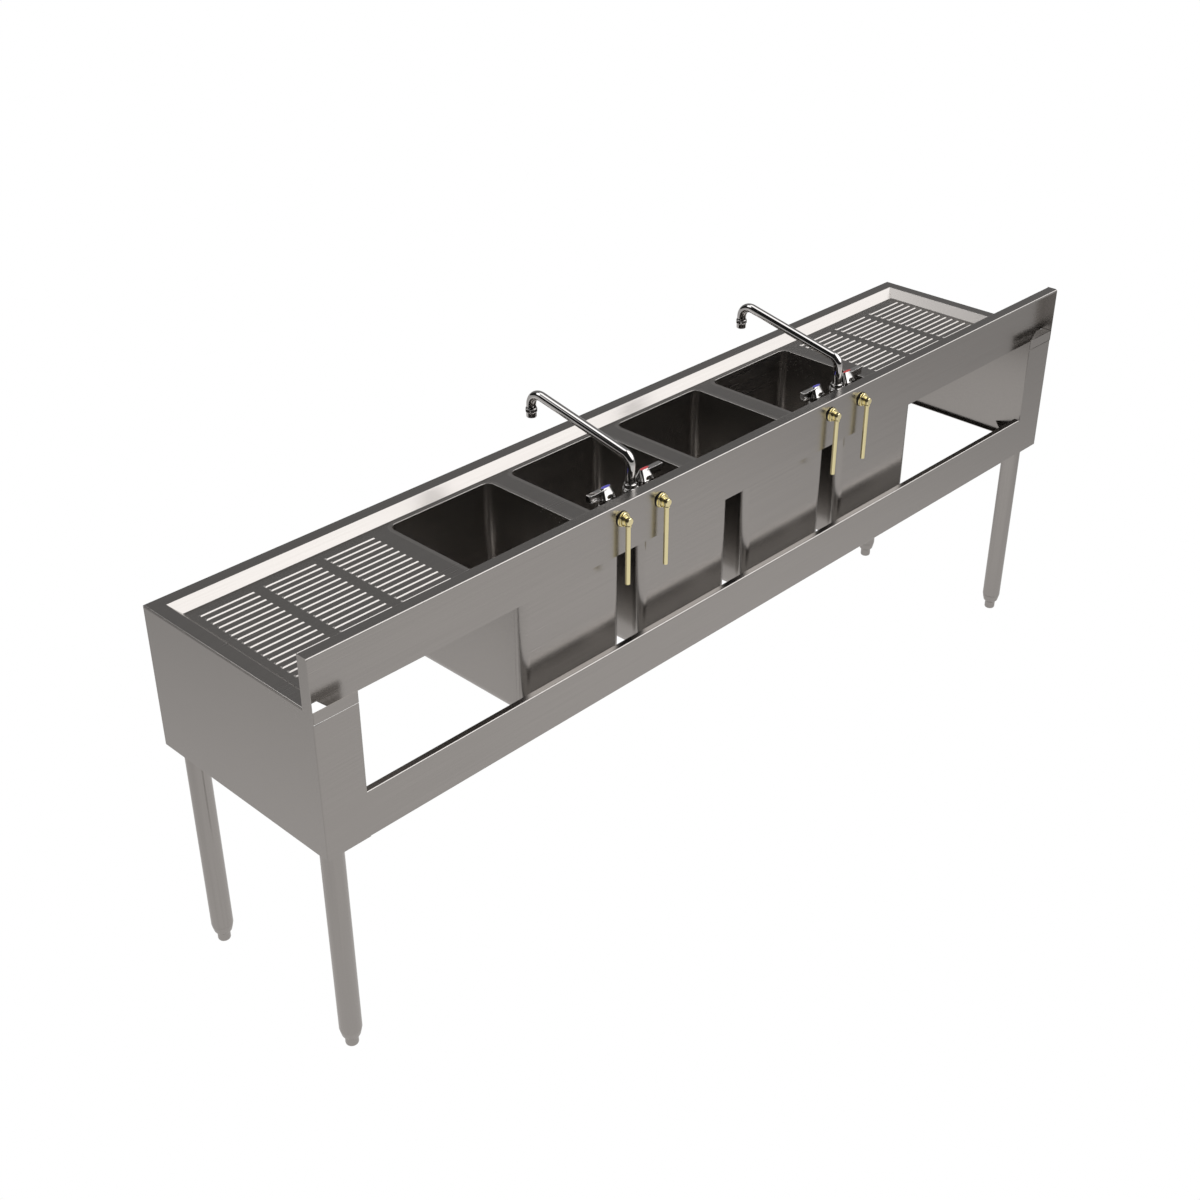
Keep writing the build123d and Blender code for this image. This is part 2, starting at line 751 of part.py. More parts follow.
def save_faucets():
    """Two faucets and the fittings behind the splash."""
    for name, x in zip(("left", "right"), FAUCET_X):
        save(f"faucet_body_{name}", faucet_body(x))
        save(f"faucet_spout_{name}", spout(x))
        save(f"spout_nut_{name}", spout_nut(x))
        save(f"aerator_{name}", aerator(x))
        for kind, side in (("hot", -1), ("cold", 1)):
            valve_x = x + side * SHANK_OFFSET
            save(f"valve_stem_{kind}_{name}", valve_stem(valve_x))
            save(f"handle_{kind}_{name}", handle(valve_x, side))
            save(f"index_{kind}_{name}", index_disc(valve_x))
    save("shank_washers", grouped(shank_washer(x) for x in shank_places()))
    save("shank_locknuts", grouped(shank_locknut(x) for x in shank_places()))
    save("supply_elbows", grouped(supply_elbow(x) for x in shank_places()))
    save("supply_tubes", grouped(supply_tube(x) for x in shank_places()))


os.makedirs("parts", exist_ok=True)
save_sheet_metal()
save_legs()
save_drains()
save_faucets()
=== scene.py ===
import json
from functools import partial
from math import cos, pi, radians, sin

import bmesh
import bpy
from mathutils import Matrix, Vector


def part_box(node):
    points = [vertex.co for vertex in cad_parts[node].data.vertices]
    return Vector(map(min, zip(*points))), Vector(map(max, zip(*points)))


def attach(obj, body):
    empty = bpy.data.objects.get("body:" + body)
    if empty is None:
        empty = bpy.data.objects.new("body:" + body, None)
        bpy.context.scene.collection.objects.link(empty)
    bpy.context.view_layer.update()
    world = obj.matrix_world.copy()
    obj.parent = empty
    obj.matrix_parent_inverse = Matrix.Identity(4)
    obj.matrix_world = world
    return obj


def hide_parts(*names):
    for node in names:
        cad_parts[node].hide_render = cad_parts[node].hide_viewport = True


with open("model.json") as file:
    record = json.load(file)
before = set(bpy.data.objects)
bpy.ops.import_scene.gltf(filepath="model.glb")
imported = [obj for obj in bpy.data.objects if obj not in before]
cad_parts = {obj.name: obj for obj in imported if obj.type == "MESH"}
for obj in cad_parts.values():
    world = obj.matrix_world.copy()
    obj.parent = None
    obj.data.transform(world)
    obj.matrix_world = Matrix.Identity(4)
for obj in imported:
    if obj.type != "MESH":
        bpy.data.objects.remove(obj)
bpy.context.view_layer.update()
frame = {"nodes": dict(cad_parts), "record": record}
NODES = frame["nodes"]
SLOT_OF = {part["node"]: part["material_slot"] for part in frame["record"]["subparts"]}

SIDES = ("left", "right")
KINDS = ("hot", "cold")
TINY = 1e-6
TOWARDS_REAR = Matrix.Rotation(radians(-90), 4, "X")
TOWARDS_RIGHT = Matrix.Rotation(radians(90), 4, "Y")

# Camera: azimuth 0 looks along +Y, elevation is above the horizon
AZIMUTH = radians(133.908)
ELEVATION = radians(31.206)
DISTANCE = 3.6506
TARGET = Vector((0.0, -0.1897, 0.3084))
LENS = 49.76

# Light: radiance of the sky and of soft patches in it. A patch is (towards, strength, full, gone),
# with the angles from its middle in degrees where it is still full and where it has gone.
SKY = 0.014
SKY_TINT = (1.0, 0.985, 0.982, 1)
PATCHES = (
    (Vector((-0.52, 0.50, 0.70)), 2.35, 22, 44),
    (Vector((-0.07, -0.31, 0.94)), 1.50, 13, 19),
    (Vector((0.32, -0.60, 0.73)), 1.60, 8, 15),
    (Vector((-0.70, -0.59, 0.40)), 0.19, 30, 62),
    (Vector((0.52, -0.59, 0.62)), 1.40, 8, 14),
)

# Floor radiance as the steel sees it: near the sink and far from it, with the distances in metres
FLOOR_MIDDLE = (0.3, 0.5, 0.0)
FLOOR_NEAR = 0.70
FLOOR_FAR = 0.42
FLOOR_REACH = (0.7, 3.3)
FLOOR_TINT = (1.0, 0.97, 0.953)
FLOOR_HALF = 30.0
FLOOR_LEVEL = -0.0005

# Steel: tint, and the noise scale of its grain along X or Z
STEEL = (0.40, 0.385, 0.37)
GRAIN_X = (3.0, 260.0, 260.0)
GRAIN_Z = (260.0, 260.0, 3.0)

# Faucet bodies: voxel size in metres and smoothing passes
CAST_VOXEL = 0.0007
CAST_PASSES = 5

# Handles: shares of the node's half width and of its reach, lengths in metres, and the index's stretch
HUB_FOOT = 1.08
HUB_LENGTH_TAPER = 0.22
HUB_WIDTH_TAPER = 0.72
LEVER_SHARE = 0.87
LEVER_DROP = 0.0022
LEVER_EDGE = 0.0005
ARCH_RADIUS = 0.0075
STEM_HOLE = 0.0062
INDEX_STRETCH = (1.75, 0.52, 1, 1)

# Fittings and drains, radii in metres
NUT_BORE = 0.0104
TUBE_RADIUS = 0.0048
STRAINER_SLOTS = 12


def add_camera():
    """Camera at the viewing angle, looking at the middle of the sink."""
    back = Vector((sin(AZIMUTH) * cos(ELEVATION), -cos(AZIMUTH) * cos(ELEVATION), sin(ELEVATION)))
    camera = bpy.data.objects.new("camera", bpy.data.cameras.new("camera"))
    camera.data.lens = LENS
    camera.location = TARGET + DISTANCE * back
    camera.rotation_euler = (-back).to_track_quat("-Z", "Y").to_euler()
    camera.data.clip_end = 100
    bpy.context.collection.objects.link(camera)
    bpy.context.scene.camera = camera


class Tree:
    """A short way to write node trees."""

    def __init__(self, owner):
        owner.use_nodes = True
        self.tree = owner.node_tree
        self.tree.nodes.clear()

    def node(self, kind, settings=None, **inputs):
        """A node with its settings, and its inputs with _ for a space."""
        new = self.tree.nodes.new(kind)
        for key, value in (settings or {}).items():
            setattr(new, key, value)
        for key, value in inputs.items():
            self.put(new, key.replace("_", " "), value)
        return new

    def put(self, node, key, value):
        """Link or set one input, named or written as i and its number."""
        socket = node.inputs[int(key[1:])] if key[0] == "i" and key[1:].isdigit() else node.inputs[key]
        if isinstance(value, bpy.types.NodeSocket):
            self.tree.links.new(value, socket)
        else:
            socket.default_value = value

    def math(self, operation, a, b=0.0, c=0.0):
        new = self.node("ShaderNodeMath", {"operation": operation}, i0=a, i1=b, i2=c)
        return new.outputs[0]

    def ramp(self, value, low, high, to_low, to_high):
        """A smooth step between two values."""
        new = self.node("ShaderNodeMapRange", {"interpolation_type": "SMOOTHSTEP"})
        ends = {"From Min": low, "From Max": high, "To Min": to_low, "To Max": to_high}
        for key, item in {"Value": value, **ends}.items():
            self.put(new, key, item)
        return new.outputs[0]

    def vector(self, operation, a, b, output=0):
        new = self.node("ShaderNodeVectorMath", {"operation": operation}, i0=a, i1=b)
        return new.outputs[output]

    def scaled(self, colour, factor):
        new = self.node("ShaderNodeVectorMath", {"operation": "SCALE"}, i0=colour, Scale=factor)
        return new.outputs[0]

    def noise(self, place, scale, detail, roughness=0.5):
        new = self.node("ShaderNodeTexNoise", Vector=place, Scale=scale, Detail=detail, Roughness=roughness)
        return new.outputs["Fac"]

    def surface(self, **inputs):
        shader = self.node("ShaderNodeBsdfPrincipled", **inputs)
        self.node("ShaderNodeOutputMaterial", Surface=shader.outputs[0])


def add_world():
    """A dim sky with soft bright patches, which looks white where the camera sees it."""
    world = bpy.data.worlds.new("studio")
    bpy.context.scene.world = world
    t = Tree(world)
    direction = t.node("ShaderNodeTexCoord").outputs["Generated"]
    total = SKY
    for aim, strength, inner, outer in PATCHES:
        dot = t.vector("DOT_PRODUCT", direction, aim.normalized(), "Value")
        patch = t.ramp(dot, cos(radians(outer)), cos(radians(inner)), 0.0, strength)
        total = t.math("ADD", patch, total)
    seen = t.node("ShaderNodeLightPath").outputs["Is Camera Ray"]
    background = t.node("ShaderNodeBackground", Color=SKY_TINT, Strength=t.math("MAXIMUM", total, seen))
    t.node("ShaderNodeOutputWorld", Surface=background.outputs[0])


def add_floor():
    """Plain pale floor, which looks white where the camera sees it."""
    mesh = bpy.data.meshes.new("floor")
    signs = ((-1, -1), (1, -1), (1, 1), (-1, 1))
    corners = [(x * FLOOR_HALF, y * FLOOR_HALF, FLOOR_LEVEL) for x, y in signs]
    mesh.from_pydata(corners, [], [(0, 1, 2, 3)])
    floor = bpy.data.objects.new("floor", mesh)
    bpy.context.collection.objects.link(floor)
    material = bpy.data.materials.new("floor")
    t = Tree(material)
    place = t.node("ShaderNodeNewGeometry").outputs["Position"]
    away = t.vector("DISTANCE", place, FLOOR_MIDDLE, "Value")
    lit = t.ramp(away, *FLOOR_REACH, FLOOR_NEAR, FLOOR_FAR)
    seen = t.node("ShaderNodeLightPath").outputs["Is Camera Ray"]
    colour = t.vector("MAXIMUM", t.scaled(FLOOR_TINT, lit), seen)
    glow = t.node("ShaderNodeEmission", Color=colour)
    t.node("ShaderNodeOutputMaterial", Surface=glow.outputs[0])
    mesh.materials.append(material)


def painted_bowl_light_mask(t, place):
    """1 where a surface faces the middle of the nearest bowl or up from its floor, else 0: the mask of the
    painted light in the bowls.
    """
    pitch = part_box("bowl_2")[0][0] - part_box("bowl_1")[0][0]
    low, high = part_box("bowl_1")
    start = (low[0] + high[0]) / 2 - pitch / 2
    middle = (low[1] + high[1]) / 2
    at = t.node("ShaderNodeSeparateXYZ", Vector=place)
    normal = t.node("ShaderNodeNewGeometry").outputs["Normal"]
    facing = t.node("ShaderNodeSeparateXYZ", Vector=normal)
    along = t.math("FRACT", t.math("DIVIDE", t.math("SUBTRACT", at.outputs["X"], start), pitch))
    off_x = t.math("MULTIPLY", t.math("SUBTRACT", along, 0.5), facing.outputs["X"])
    off_y = t.math("MULTIPLY", t.math("SUBTRACT", at.outputs["Y"], middle), facing.outputs["Y"])
    inward = t.math("LESS_THAN", t.math("ADD", off_x, off_y), 0.0)
    return t.math("MAXIMUM", inward, t.math("GREATER_THAN", facing.outputs["Z"], 0.5))


def material_of(name):
    """A new material with its empty tree and the object's own coordinates."""
    material = bpy.data.materials.new(name)
    t = Tree(material)
    return material, t, t.node("ShaderNodeTexCoord").outputs["Object"]


def steel(name, roughness, grain=GRAIN_X, painted_bowl_light=1.0):
    """Brushed stainless steel: fine streaks along one axis and a faint cloudiness.

    The last argument paints light into the bowls: how much brighter their inward and upward faces are
    painted, to lift the shade in them.
    """
    material, t, place = material_of(name)
    stretched = t.node("ShaderNodeMapping", Vector=place, Scale=grain).outputs[0]
    streak = t.noise(stretched, 1.0, 4.0, 0.6)
    cloud = t.noise(place, 3.5, 3.0)
    streaky = t.ramp(streak, 0.25, 0.75, roughness - 0.012, roughness + 0.012)
    rough = t.math("ADD", streaky, t.ramp(cloud, 0.3, 0.7, -0.015, 0.015))
    shade = t.ramp(streak, 0.25, 0.75, 0.97, 1.03)
    # Painted light: the bowls' inward and upward faces get a brighter colour that lifts their shade.
    if painted_bowl_light > 1.0:
        painted_light_gain = t.math("MULTIPLY_ADD", painted_bowl_light_mask(t, place), painted_bowl_light - 1.0, 1.0)
        shade = t.math("MULTIPLY", shade, painted_light_gain)
    bump = t.node("ShaderNodeBump", Strength=0.012, Distance=0.0002, Height=streak).outputs[0]
    t.surface(Base_Color=t.scaled(STEEL, shade), Metallic=1.0, Roughness=rough, Normal=bump)
    return material


def polished(name, tint, roughness):
    """Polished plated metal with faint smudges."""
    material, t, place = material_of(name)
    rough = t.ramp(t.noise(place, 60.0, 4.0), 0.35, 0.7, roughness * 0.8, roughness * 1.6)
    t.surface(Base_Color=(*tint, 1), Metallic=1.0, Roughness=rough)
    return material


def plastic(name, tint, roughness):
    """Moulded plastic or rubber with a fine surface."""
    material, t, place = material_of(name)
    grain = t.noise(place, 900.0, 2.0)
    rough = t.ramp(grain, 0.3, 0.7, roughness * 0.85, roughness * 1.15)
    bump = t.node("ShaderNodeBump", Strength=0.15, Distance=0.0002, Height=grain).outputs[0]
    t.surface(Base_Color=(*tint, 1), Roughness=rough, Normal=bump)
    return material


def finishes():
    """One material for each slot of the record."""
    return {
        "stainless_sheet": steel("stainless_sheet", 0.25),
        # The bowls' insides get painted light, 1.2 times brighter.
        "bowl_steel": steel("bowl_steel", 0.25, painted_bowl_light=1.2),
        "leg_steel": steel("leg_steel", 0.22, GRAIN_Z),
        "foot_steel": steel("foot_steel", 0.25, GRAIN_Z),
        "drain_steel": polished("drain_steel", (0.55, 0.54, 0.53), 0.12),
        "chrome": polished("chrome", (0.70, 0.69, 0.68), 0.04),
        "brass": polished("brass", (0.93, 0.84, 0.49), 0.08),
        "rubber": plastic("rubber", (0.02, 0.02, 0.02), 0.6),
        "index_blue": plastic("index_blue", (0.12, 0.11, 0.62), 0.3),
        "index_red": plastic("index_red", (0.70, 0.07, 0.08), 0.3),
    }


def dress_nodes():
    """Give each CAD node the material of its slot and smooth shading across its curves."""
    for name, node in NODES.items():
        node.data.materials.clear()
        node.data.materials.append(FINISHES[SLOT_OF[name]])
        node.data.shade_smooth()
        node.data.set_sharp_from_angle(angle=radians(25))


def soften(points, radius, steps=4):
    """Replace each inner corner of an open outline by a short curve."""
    points = [Vector(point) for point in points]
    soft = [points[0]]
    for before, corner, after in zip(points, points[1:], points[2:]):
        to_before = before - corner
        to_after = after - corner
        trim = min(radius, to_before.length / 2.2, to_after.length / 2.2)
        start = corner + to_before.normalized() * trim
        end = corner + to_after.normalized() * trim
        for step in range(steps + 1):
            u = step / steps
            soft.append(start * (1 - u) ** 2 + corner * 2 * u * (1 - u) + end * u ** 2)
    return soft + [points[-1]]


def turned(points, place, steps=64, flutes=()):
    """A shape of revolution about Z, moved by a matrix.

    flutes gives bands of fine grooves, each (from, to, depth).
    """
    shape = bmesh.new()
    rings = []
    for radius, height in points:
        if radius < TINY:
            rings.append([shape.verts.new(place @ Vector((0, 0, height)))])
            continue
        depth = sum(deep for low, high, deep in flutes if low <= height <= high)
        ring = []
        for step in range(steps):
            angle = 2 * pi * step / steps
            reach = radius - (depth if step % 2 else 0.0)
            ring.append(shape.verts.new(place @ Vector((reach * cos(angle), reach * sin(angle), height))))
        rings.append(ring)
    for lower, upper in zip(rings, rings[1:]):
        bridge(shape, lower, upper)
    return shape


def bridge(shape, lower, upper):
    """Faces between two rings, or between a ring and a point."""
    count = max(len(lower), len(upper))
    for step in range(count):
        following = (step + 1) % count
        corners = [lower[step % len(lower)], lower[following % len(lower)]]
        corners += [upper[following % len(upper)], upper[step % len(upper)]]
        shape.faces.new(dict.fromkeys(corners))


def hexagon(across, bore, low, high, place, steps=96):
    """A hexagonal nut with chamfered corners and a bore."""
    shape = bmesh.new()
    bevel = 0.09 * across
    stations = [(low, 0.0), (low + bevel * 0.3, 0.5), (low + bevel * 0.7, 1.1)]
    stations += [(high - bevel * 0.7, 1.1), (high - bevel * 0.3, 0.5), (high, 0.0)]
    rings = [ring_of(shape, lambda angle: bore, low, place, steps)]
    for height, rise in stations:
        outline = partial(nut_radius, across, across / 2 * 0.97 + rise * bevel)
        rings.append(ring_of(shape, outline, height, place, steps))
    rings.append(ring_of(shape, lambda angle: bore, high, place, steps))
    for lower, upper in zip(rings, rings[1:] + rings[:1]):
        bridge(shape, lower, upper)
    return shape


def nut_radius(across, limit, angle):
    """Distance from the middle of a chamfered hexagon to its edge, in one direction."""
    return min(limit, across / 2 / cos((angle % (pi / 3)) - pi / 6))


def ring_of(shape, radius_at, height, place, steps):
    """A ring of points whose radius depends on the angle."""
    ring = []
    for step in range(steps):
        angle = 2 * pi * step / steps
        reach = radius_at(angle)
        ring.append(shape.verts.new(place @ Vector((reach * cos(angle), reach * sin(angle), height))))
    return ring


def slab(x_range, y_range, z_range, bevel, place=Matrix()):
    """A block with bevelled edges."""
    shape = bmesh.new()
    loops = []
    for z in z_range:
        corners = [(x_range[0], y_range[0]), (x_range[1], y_range[0])]
        corners += [(x_range[1], y_range[1]), (x_range[0], y_range[1])]
        loops.append([shape.verts.new(place @ Vector((x, y, z))) for x, y in corners])
    bridge(shape, *loops)
    shape.faces.new(loops[0])
    shape.faces.new(loops[1])
    bmesh.ops.recalc_face_normals(shape, faces=shape.faces)
    bmesh.ops.bevel(shape, geom=shape.edges[:], offset=bevel, segments=3, profile=0.5, affect="EDGES")
    return shape


def rod(radius, low, high, place=Matrix(), steps=64):
    """A round bar about Z, moved by a matrix."""
    return turned(((0, low), (radius, low), (radius, high), (0, high)), place, steps)


def body_of(shapes, name):
    """One object from several bmesh shapes."""
    whole = bmesh.new()
    for shape in shapes:
        part = bpy.data.meshes.new("part")
        shape.to_mesh(part)
        shape.free()
        whole.from_mesh(part)
        bpy.data.meshes.remove(part)
    bmesh.ops.recalc_face_normals(whole, faces=whole.faces)
    mesh = bpy.data.meshes.new(name)
    whole.to_mesh(mesh)
    whole.free()
    thing = bpy.data.objects.new(name, mesh)
    bpy.context.collection.objects.link(thing)
    return thing


def settle(thing):
    """Apply an object's modifiers to its mesh."""
    depsgraph = bpy.context.evaluated_depsgraph_get()
    mesh = bpy.data.meshes.new_from_object(thing.evaluated_get(depsgraph))
    thing.modifiers.clear()
    thing.data = mesh
    return thing


def combined(base, others):
    """Join or cut objects with exact booleans; others holds (operation, object)."""
    for operation, other in others:
        step = base.modifiers.new(operation, "BOOLEAN")
        step.operation = operation
        step.solver = "EXACT"
        step.object = other
    settle(base)
    for _, other in others:
        bpy.data.objects.remove(other)


def cast(thing, grain, passes):
    """Fuse an object's shells into one soft-edged casting."""
    fuse = thing.modifiers.new("fuse", "REMESH")
    fuse.mode = "VOXEL"
    fuse.voxel_size = grain
    soft = thing.modifiers.new("soft", "SMOOTH")
    soft.factor = 0.5
    soft.iterations = passes
    return settle(thing)


def finish_piece(thing, slot, body, nodes, crease=30):
    """Dress a piece, make it ride and let it stand for its CAD nodes."""
    thing.data.materials.clear()
    thing.data.materials.append(FINISHES[slot])
    thing.data.shade_smooth()
    thing.data.set_sharp_from_angle(angle=radians(crease))
    flat = thing.modifiers.new("flat", "WEIGHTED_NORMAL")
    flat.keep_sharp = True
    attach(thing, body)
    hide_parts(*nodes)


# Faucets


def middle_of(node):
    """Centre of a node's box."""
    low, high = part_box(node)
    return (Vector(low) + Vector(high)) / 2


def shank_height():
    """Height of the shanks' axis."""
    return middle_of("shank_washers").z


def splash_rear():
    """The splash's rear face, where the washers start."""
    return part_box("shank_washers")[0][1]


def valve_tower(at):
    """Housing, shank, collar and flange of one valve. at is the middle of the shank at the valve."""
    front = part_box("backsplash")[0][1] - at.y
    tower = (
        (0.0, -0.0150), (0.0080, -0.0145), (0.0120, -0.0110), (0.0132, -0.0040), (0.0132, 0.0120),
        (0.0115, 0.0150), (0.0115, 0.0265), (0.0106, 0.0285), (0.0064, 0.0290), (0.0064, 0.0100),
        (0.0, 0.0100),
    )
    flange = (
        (0.0, 0.0), (0.0098, 0.0), (0.0098, front - 0.0150), (0.0126, front - 0.0120),
        (0.0134, front - 0.0060), (0.0158, front - 0.0045), (0.0165, front - 0.0015), (0.0165, front),
        (0.0, front),
    )
    upright = Matrix.Translation(at)
    return [
        turned(soften(tower, 0.0014), upright),
        turned(soften(flange, 0.0014), upright @ TOWARDS_REAR),
    ]


def faucet_casting(side):
    """Cast faucet body: two valve housings joined by a waisted bar, with a boss for the spout."""
    valves = [middle_of(f"valve_stem_{kind}_{side}") for kind in KINDS]
    spout = middle_of(f"spout_nut_{side}")
    nut_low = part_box(f"spout_nut_{side}")[0][2]
    height = shank_height()
    shapes = []
    for valve in valves:
        shapes += valve_tower(Vector((valve.x, valve.y, height)))
    half = (valves[1].x - valves[0].x) / 2
    waist = [(0.0102 + 0.0020 * (step / 8) ** 2, half * step / 8) for step in range(-8, 9)]
    bar = [(0.0, -half), *waist, (0.0, half)]
    middle = Vector((spout.x, (valves[0].y + spout.y) / 2, height))
    shapes.append(turned(bar, Matrix.Translation(middle) @ TOWARDS_RIGHT))
    low = -0.0125
    top = nut_low - height
    boss = (
        (0.0, low), (0.0090, low + 0.0008), (0.0122, low + 0.0050), (0.0118, top - 0.0080),
        (0.0138, top - 0.0050), (0.0138, top - 0.0004), (0.0097, top - 0.0004), (0.0097, top - 0.0080),
        (0.0, top - 0.0080),
    )
    shapes.append(turned(soften(boss, 0.0014), Matrix.Translation((spout.x, spout.y, height))))
    casting = cast(body_of(shapes, f"faucet_casting_{side}"), CAST_VOXEL, CAST_PASSES)
    finish_piece(casting, "chrome", "sink", [f"faucet_body_{side}"])


def swivel_nut(side):
    """Stepped nut around the foot of the spout, with a groove around its lower step."""
    node = f"spout_nut_{side}"
    at = middle_of(node)
    low, high = (corner[2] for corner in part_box(node))
    profile = (
        (0.0094, low), (0.0132, low), (0.0143, low + 0.0010), (0.0143, low + 0.0078),
        (0.0136, low + 0.0084), (0.0136, low + 0.0092), (0.0143, low + 0.0096), (0.0143, low + 0.0112),
        (0.0119, low + 0.0120), (0.0117, high - 0.0010), (0.0107, high - 0.0002), (0.0094, high - 0.0002),
        (0.0094, low),
    )
    shape = turned(soften(profile, 0.0006), Matrix.Translation((at.x, at.y, 0)), 96)
    nut = body_of([shape], f"swivel_nut_{side}")
    finish_piece(nut, "chrome", "sink", [node], 50)


def aerator(side):
    """Aerator with a knurled ring, a smooth sleeve and a disc for its screen."""
    node = f"aerator_{side}"
    at = middle_of(node)
    low, high = (corner[2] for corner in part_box(node))
    place = Matrix.Translation((at.x, at.y, low))
    top = high - low - 0.0020
    profile = (
        (0.0080, 0.0006), (0.0088, 0.0), (0.0097, 0.0008), (0.0098, 0.0095), (0.0104, 0.0104),
        (0.0110, 0.0112), (0.0110, 0.0170), (0.0106, top - 0.0004), (0.0093, top), (0.0093, 0.0120),
        (0.0080, 0.0100), (0.0080, 0.0006),
    )
    flutes = ((0.0113, 0.0169, 0.0004),)
    shapes = [turned(soften(profile, 0.0005), place, 120, flutes)]
    screen = ((0.0, 0.0050), (0.0082, 0.0050), (0.0082, 0.0056), (0.0, 0.0056))
    shapes.append(turned(screen, place))
    ring = body_of(shapes, f"aerator_ring_{side}")
    finish_piece(ring, "chrome", f"spout_{side}", [node], 40)


def roof(half, height, steps=96, levels=10):
    """Handle hub: a rounded square below that draws in to a long narrow oval on top."""
    shape = bmesh.new()
    rings = []
    for level in range(levels + 1):
        rise = level / levels
        long = half * (HUB_FOOT - HUB_LENGTH_TAPER * rise)
        wide = half * (1 - HUB_WIDTH_TAPER * rise ** 0.9)
        power = 5.0 - 2.6 * rise
        outline = partial(oval, long, wide, power)
        rings.append(ring_of(shape, outline, height * rise, Matrix(), steps))
    for lower, upper in zip(rings, rings[1:]):
        bridge(shape, lower, upper)
    shape.faces.new(rings[0])
    shape.faces.new(rings[-1])
    return shape


def oval(long, wide, power, angle):
    """Distance from the middle of a superellipse to its edge, in one direction."""
    return (abs(cos(angle) / long) ** power + abs(sin(angle) / wide) ** power) ** (-1 / power)


def handle(kind, side):
    """Lever handle: a hub like a steep roof with arched sides, and a tall bevelled lever."""
    node = f"handle_{kind}_{side}"
    stem = middle_of(f"valve_stem_{kind}_{side}")
    low, high = (Vector(corner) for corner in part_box(node))
    outward = 1 if high.x - stem.x > stem.x - low.x else -1
    reach = LEVER_SHARE * max(high.x - stem.x, stem.x - low.x)
    half = high.y - stem.y
    width = 0.39 * half
    height = high.z - low.z
    hub = body_of([roof(half, height)], node + "_hub")
    blade = slab((0.002, reach), (-width, width), (0.0015, height - LEVER_DROP), LEVER_EDGE)
    arch = rod(ARCH_RADIUS, -half * 2, half * 2, Matrix.Translation((0, 0, -0.001)) @ TOWARDS_REAR)
    socket = rod(STEM_HOLE, -height, height / 2, Matrix(), 48)
    combined(
        hub,
        [
            ("UNION", body_of([blade], "blade")),
            ("DIFFERENCE", body_of([arch], "arch")),
            ("DIFFERENCE", body_of([socket], "socket")),
        ],
    )
    turn = Matrix.Translation((stem.x, stem.y, low.z)) @ Matrix.Rotation(0 if outward > 0 else pi, 4, "Z")
    hub.data.transform(turn)
    finish_piece(hub, "chrome", f"{kind}_handle_{side}", [node], 28)


def index_button(kind, side):
    """Coloured inlay along the top of the handle, slightly domed."""
    node = f"index_{kind}_{side}"
    at = middle_of(node)
    low, high = (corner[2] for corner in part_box(node))
    profile = (
        (0.0, low), (0.0066, low), (0.0066, high - 0.0004), (0.0060, high - 0.0001), (0.0030, high),
        (0.0, high),
    )
    place = Matrix.Translation((at.x, at.y, 0)) @ Matrix.Diagonal(INDEX_STRETCH)
    button = body_of([turned(soften(profile, 0.0004), place)], f"index_button_{kind}_{side}")
    colour = "index_blue" if kind == "cold" else "index_red"
    finish_piece(button, colour, f"{kind}_handle_{side}", [node], 40)


# Fittings behind the splash


def shank_spots():
    """Where the four shanks pass through the splash's rear face."""
    height = shank_height()
    stems = [middle_of(f"valve_stem_{kind}_{side}") for side in SIDES for kind in KINDS]
    return [Matrix.Translation((stem.x, splash_rear(), height)) @ TOWARDS_REAR for stem in stems]


def rubber_washers():
    """Rounded rubber washer on each shank."""
    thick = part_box("shank_washers")[1][1] - splash_rear()
    profile = ((0.0106, 0.0), (0.0149, 0.0), (0.0149, thick), (0.0106, thick), (0.0106, 0.0))
    shapes = [turned(soften(profile, 0.0007), spot) for spot in shank_spots()]
    finish_piece(body_of(shapes, "rubber_washers"), "rubber", "sink", ["shank_washers"], 50)


def hex_locknuts():
    """Chamfered hexagonal locknut with a round flange on each shank."""
    low, high = (corner[1] - splash_rear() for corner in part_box("shank_locknuts"))
    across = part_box("shank_locknuts")[1][2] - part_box("shank_locknuts")[0][2]
    flange = (
        (NUT_BORE, low), (0.0143, low), (0.0143, low + 0.0014), (0.0136, low + 0.0018),
        (NUT_BORE, low + 0.0018), (NUT_BORE, low),
    )
    shapes = []
    for spot in shank_spots():
        turn = Matrix.Rotation(pi / 6, 4, "Z")
        shapes.append(hexagon(across, NUT_BORE, low + 0.0012, high, spot @ turn))
        shapes.append(turned(soften(flange, 0.0004), spot, 96))
    finish_piece(body_of(shapes, "hex_locknuts"), "brass", "sink", ["shank_locknuts"], 20)


def supply_fittings():
    """Threaded shank end, ring and round cap on each shank, with a collar around the supply tube."""
    low, high = (corner[1] - splash_rear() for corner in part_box("supply_elbows"))
    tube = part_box("supply_tubes")[1][1] - TUBE_RADIUS - splash_rear()
    profile = (
        (0.0, low - 0.0040), (0.0098, low - 0.0040), (0.0098, low + 0.0010), (0.0092, low + 0.0016),
        (0.0092, low + 0.0026), (0.0100, low + 0.0030), (0.0100, low + 0.0044), (0.0072, low + 0.0050),
        (0.0072, low + 0.0060), (0.0078, low + 0.0068), (0.0078, high - 0.0012), (0.0066, high),
        (0.0, high),
    )
    collar = (
        (TUBE_RADIUS, 0.0), (0.0056, 0.0), (0.0064, 0.0006), (0.0064, 0.0028), (0.0058, 0.0040),
        (0.0058, 0.0090), (0.0, 0.0090),
    )
    shapes = []
    for spot in shank_spots():
        shapes.append(turned(soften(profile, 0.0005), spot))
        middle = spot @ Matrix.Translation((0, 0, tube)) @ TOWARDS_REAR.inverted()
        drop = Matrix.Translation((0, 0, -0.0110)) @ middle
        shapes.append(turned(soften(collar, 0.0004), drop, 48))
    finish_piece(body_of(shapes, "supply_fittings"), "brass", "sink", ["supply_elbows"], 35)


# Drains and feet


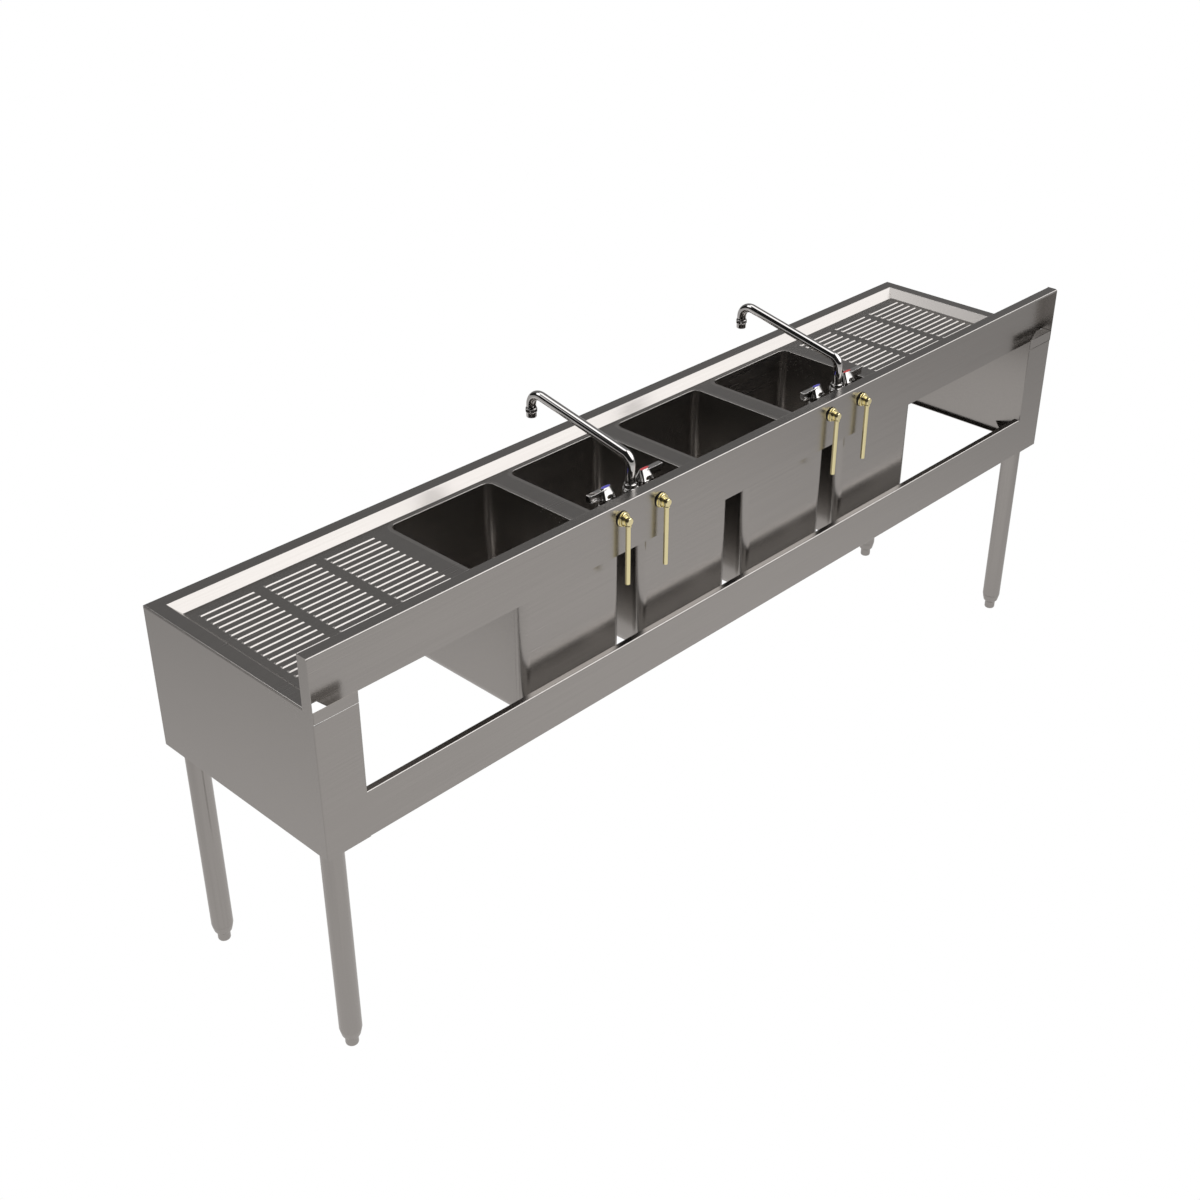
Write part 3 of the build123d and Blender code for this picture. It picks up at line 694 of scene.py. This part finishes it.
def strainer(number):
    """Drain flange with a rolled edge around a plate with a star of slots."""
    node = f"drain_body_{number}"
    at = middle_of(node)
    low, high = (corner[2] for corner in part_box(node))
    profile = (
        (0.0190, low), (0.0218, low), (0.0218, high - 0.0020), (0.0308, high - 0.0019),
        (0.0308, high - 0.0012), (0.0290, high - 0.0004), (0.0240, high), (0.0205, high - 0.0030),
        (0.0190, high - 0.0080), (0.0190, low),
    )
    ring = body_of([turned(soften(profile, 0.0008), Matrix(), 96)], f"strainer_{number}")
    floor = high - 0.0042
    plate = body_of([rod(0.0194, floor - 0.001, floor + 0.001, Matrix(), 96)], "plate")
    through = (floor - 0.004, floor + 0.004)
    cuts = []
    for step in range(STRAINER_SLOTS):
        spin = Matrix.Rotation(2 * pi * step / STRAINER_SLOTS, 4, "Z")
        cuts.append(slab((0.0062, 0.0165), (-0.0013, 0.0013), through, 0.0009, spin))
    cuts.append(rod(0.0016, *through, Matrix(), 24))
    combined(plate, [("DIFFERENCE", body_of(cuts, "slots"))])
    combined(ring, [("UNION", plate)])
    ring.data.transform(Matrix.Translation((at.x, at.y, 0)))
    finish_piece(ring, "drain_steel", "sink", [node], 35)


def bullet_foot(corner):
    """Bullet foot with a rounded tip, a waist and a collar under its stem."""
    node = f"foot_{corner}"
    at = middle_of(node)
    low, high = (point[2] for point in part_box(node))
    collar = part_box(node)[1][0] - at.x
    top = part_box(f"leg_{corner}")[0][2] - low
    profile = (
        (0.0, 0.0), (0.0088, 0.0), (0.0112, 0.0010), (0.0122, 0.0034), (0.0122, 0.0170),
        (0.0128, 0.0190), (collar - 0.0030, 0.0232), (collar - 0.0004, top - 0.0060),
        (collar, top - 0.0030), (collar, top - 0.0003), (0.0080, top - 0.0003),
        (0.0080, high - low - 0.001), (0.0, high - low - 0.001),
    )
    shape = turned(soften(profile, 0.0012), Matrix.Translation((at.x, at.y, low)))
    foot = body_of([shape], f"bullet_{corner}")
    finish_piece(foot, "foot_steel", f"adjustable_foot_{corner}", [node], 40)


def add_pieces():
    """Every piece modelled here."""
    for side in SIDES:
        faucet_casting(side)
        swivel_nut(side)
        aerator(side)
        for kind in KINDS:
            handle(kind, side)
            index_button(kind, side)
    rubber_washers()
    hex_locknuts()
    supply_fittings()
    for number in (1, 2, 3, 4):
        strainer(number)
    for end in ("front", "rear"):
        for side in SIDES:
            bullet_foot(f"{end}_{side}")


FINISHES = finishes()
add_camera()
add_world()
add_floor()
dress_nodes()
add_pieces()
bpy.context.scene.view_settings.view_transform = "Standard"
